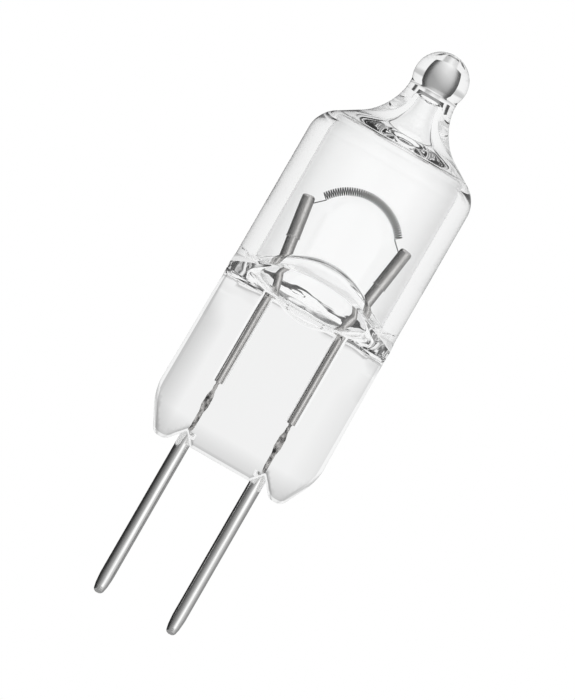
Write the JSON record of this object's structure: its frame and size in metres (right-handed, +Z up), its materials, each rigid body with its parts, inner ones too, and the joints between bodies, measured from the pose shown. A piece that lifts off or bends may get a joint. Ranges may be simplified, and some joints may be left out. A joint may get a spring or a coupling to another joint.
{
  "type": "halogen capsule bulb",
  "caption": "Clear quartz capsule lamp with a melted tip, an arched coil filament on leaning posts, and round contact pins below a pressed pinch.",
  "frame": {"origin": "midway between the contact pins, level with the flat of the pinch's bottom edge", "axes": "+Z up the bulb axis from the pins to the melted tip, +X from the left pin to the right pin, +Y through the thickness of the pinch"},
  "size_m": [0.0088, 0.0088, 0.0308],
  "materials": {
    "quartz_glass": "clear and polished",
    "pin_wire": "drawn wire, bright",
    "lead_wire": "drawn molybdenum wire",
    "lead_sleeve": "smooth drawn tube",
    "seal_foil": "dark rolled foil",
    "filament_wire": "dark tungsten wire"
  },
  "bodies": {
    "root": {"quartz_envelope": "quartz_glass", "contact_pin_left": "pin_wire", "contact_pin_right": "pin_wire", "inner_lead_left": "lead_wire", "inner_lead_right": "lead_wire", "lead_sleeve_left": "lead_sleeve", "lead_sleeve_right": "lead_sleeve", "seal_foil_left": "seal_foil", "seal_foil_right": "seal_foil", "filament_coil": "filament_wire"}
  },
  "joints": []
}
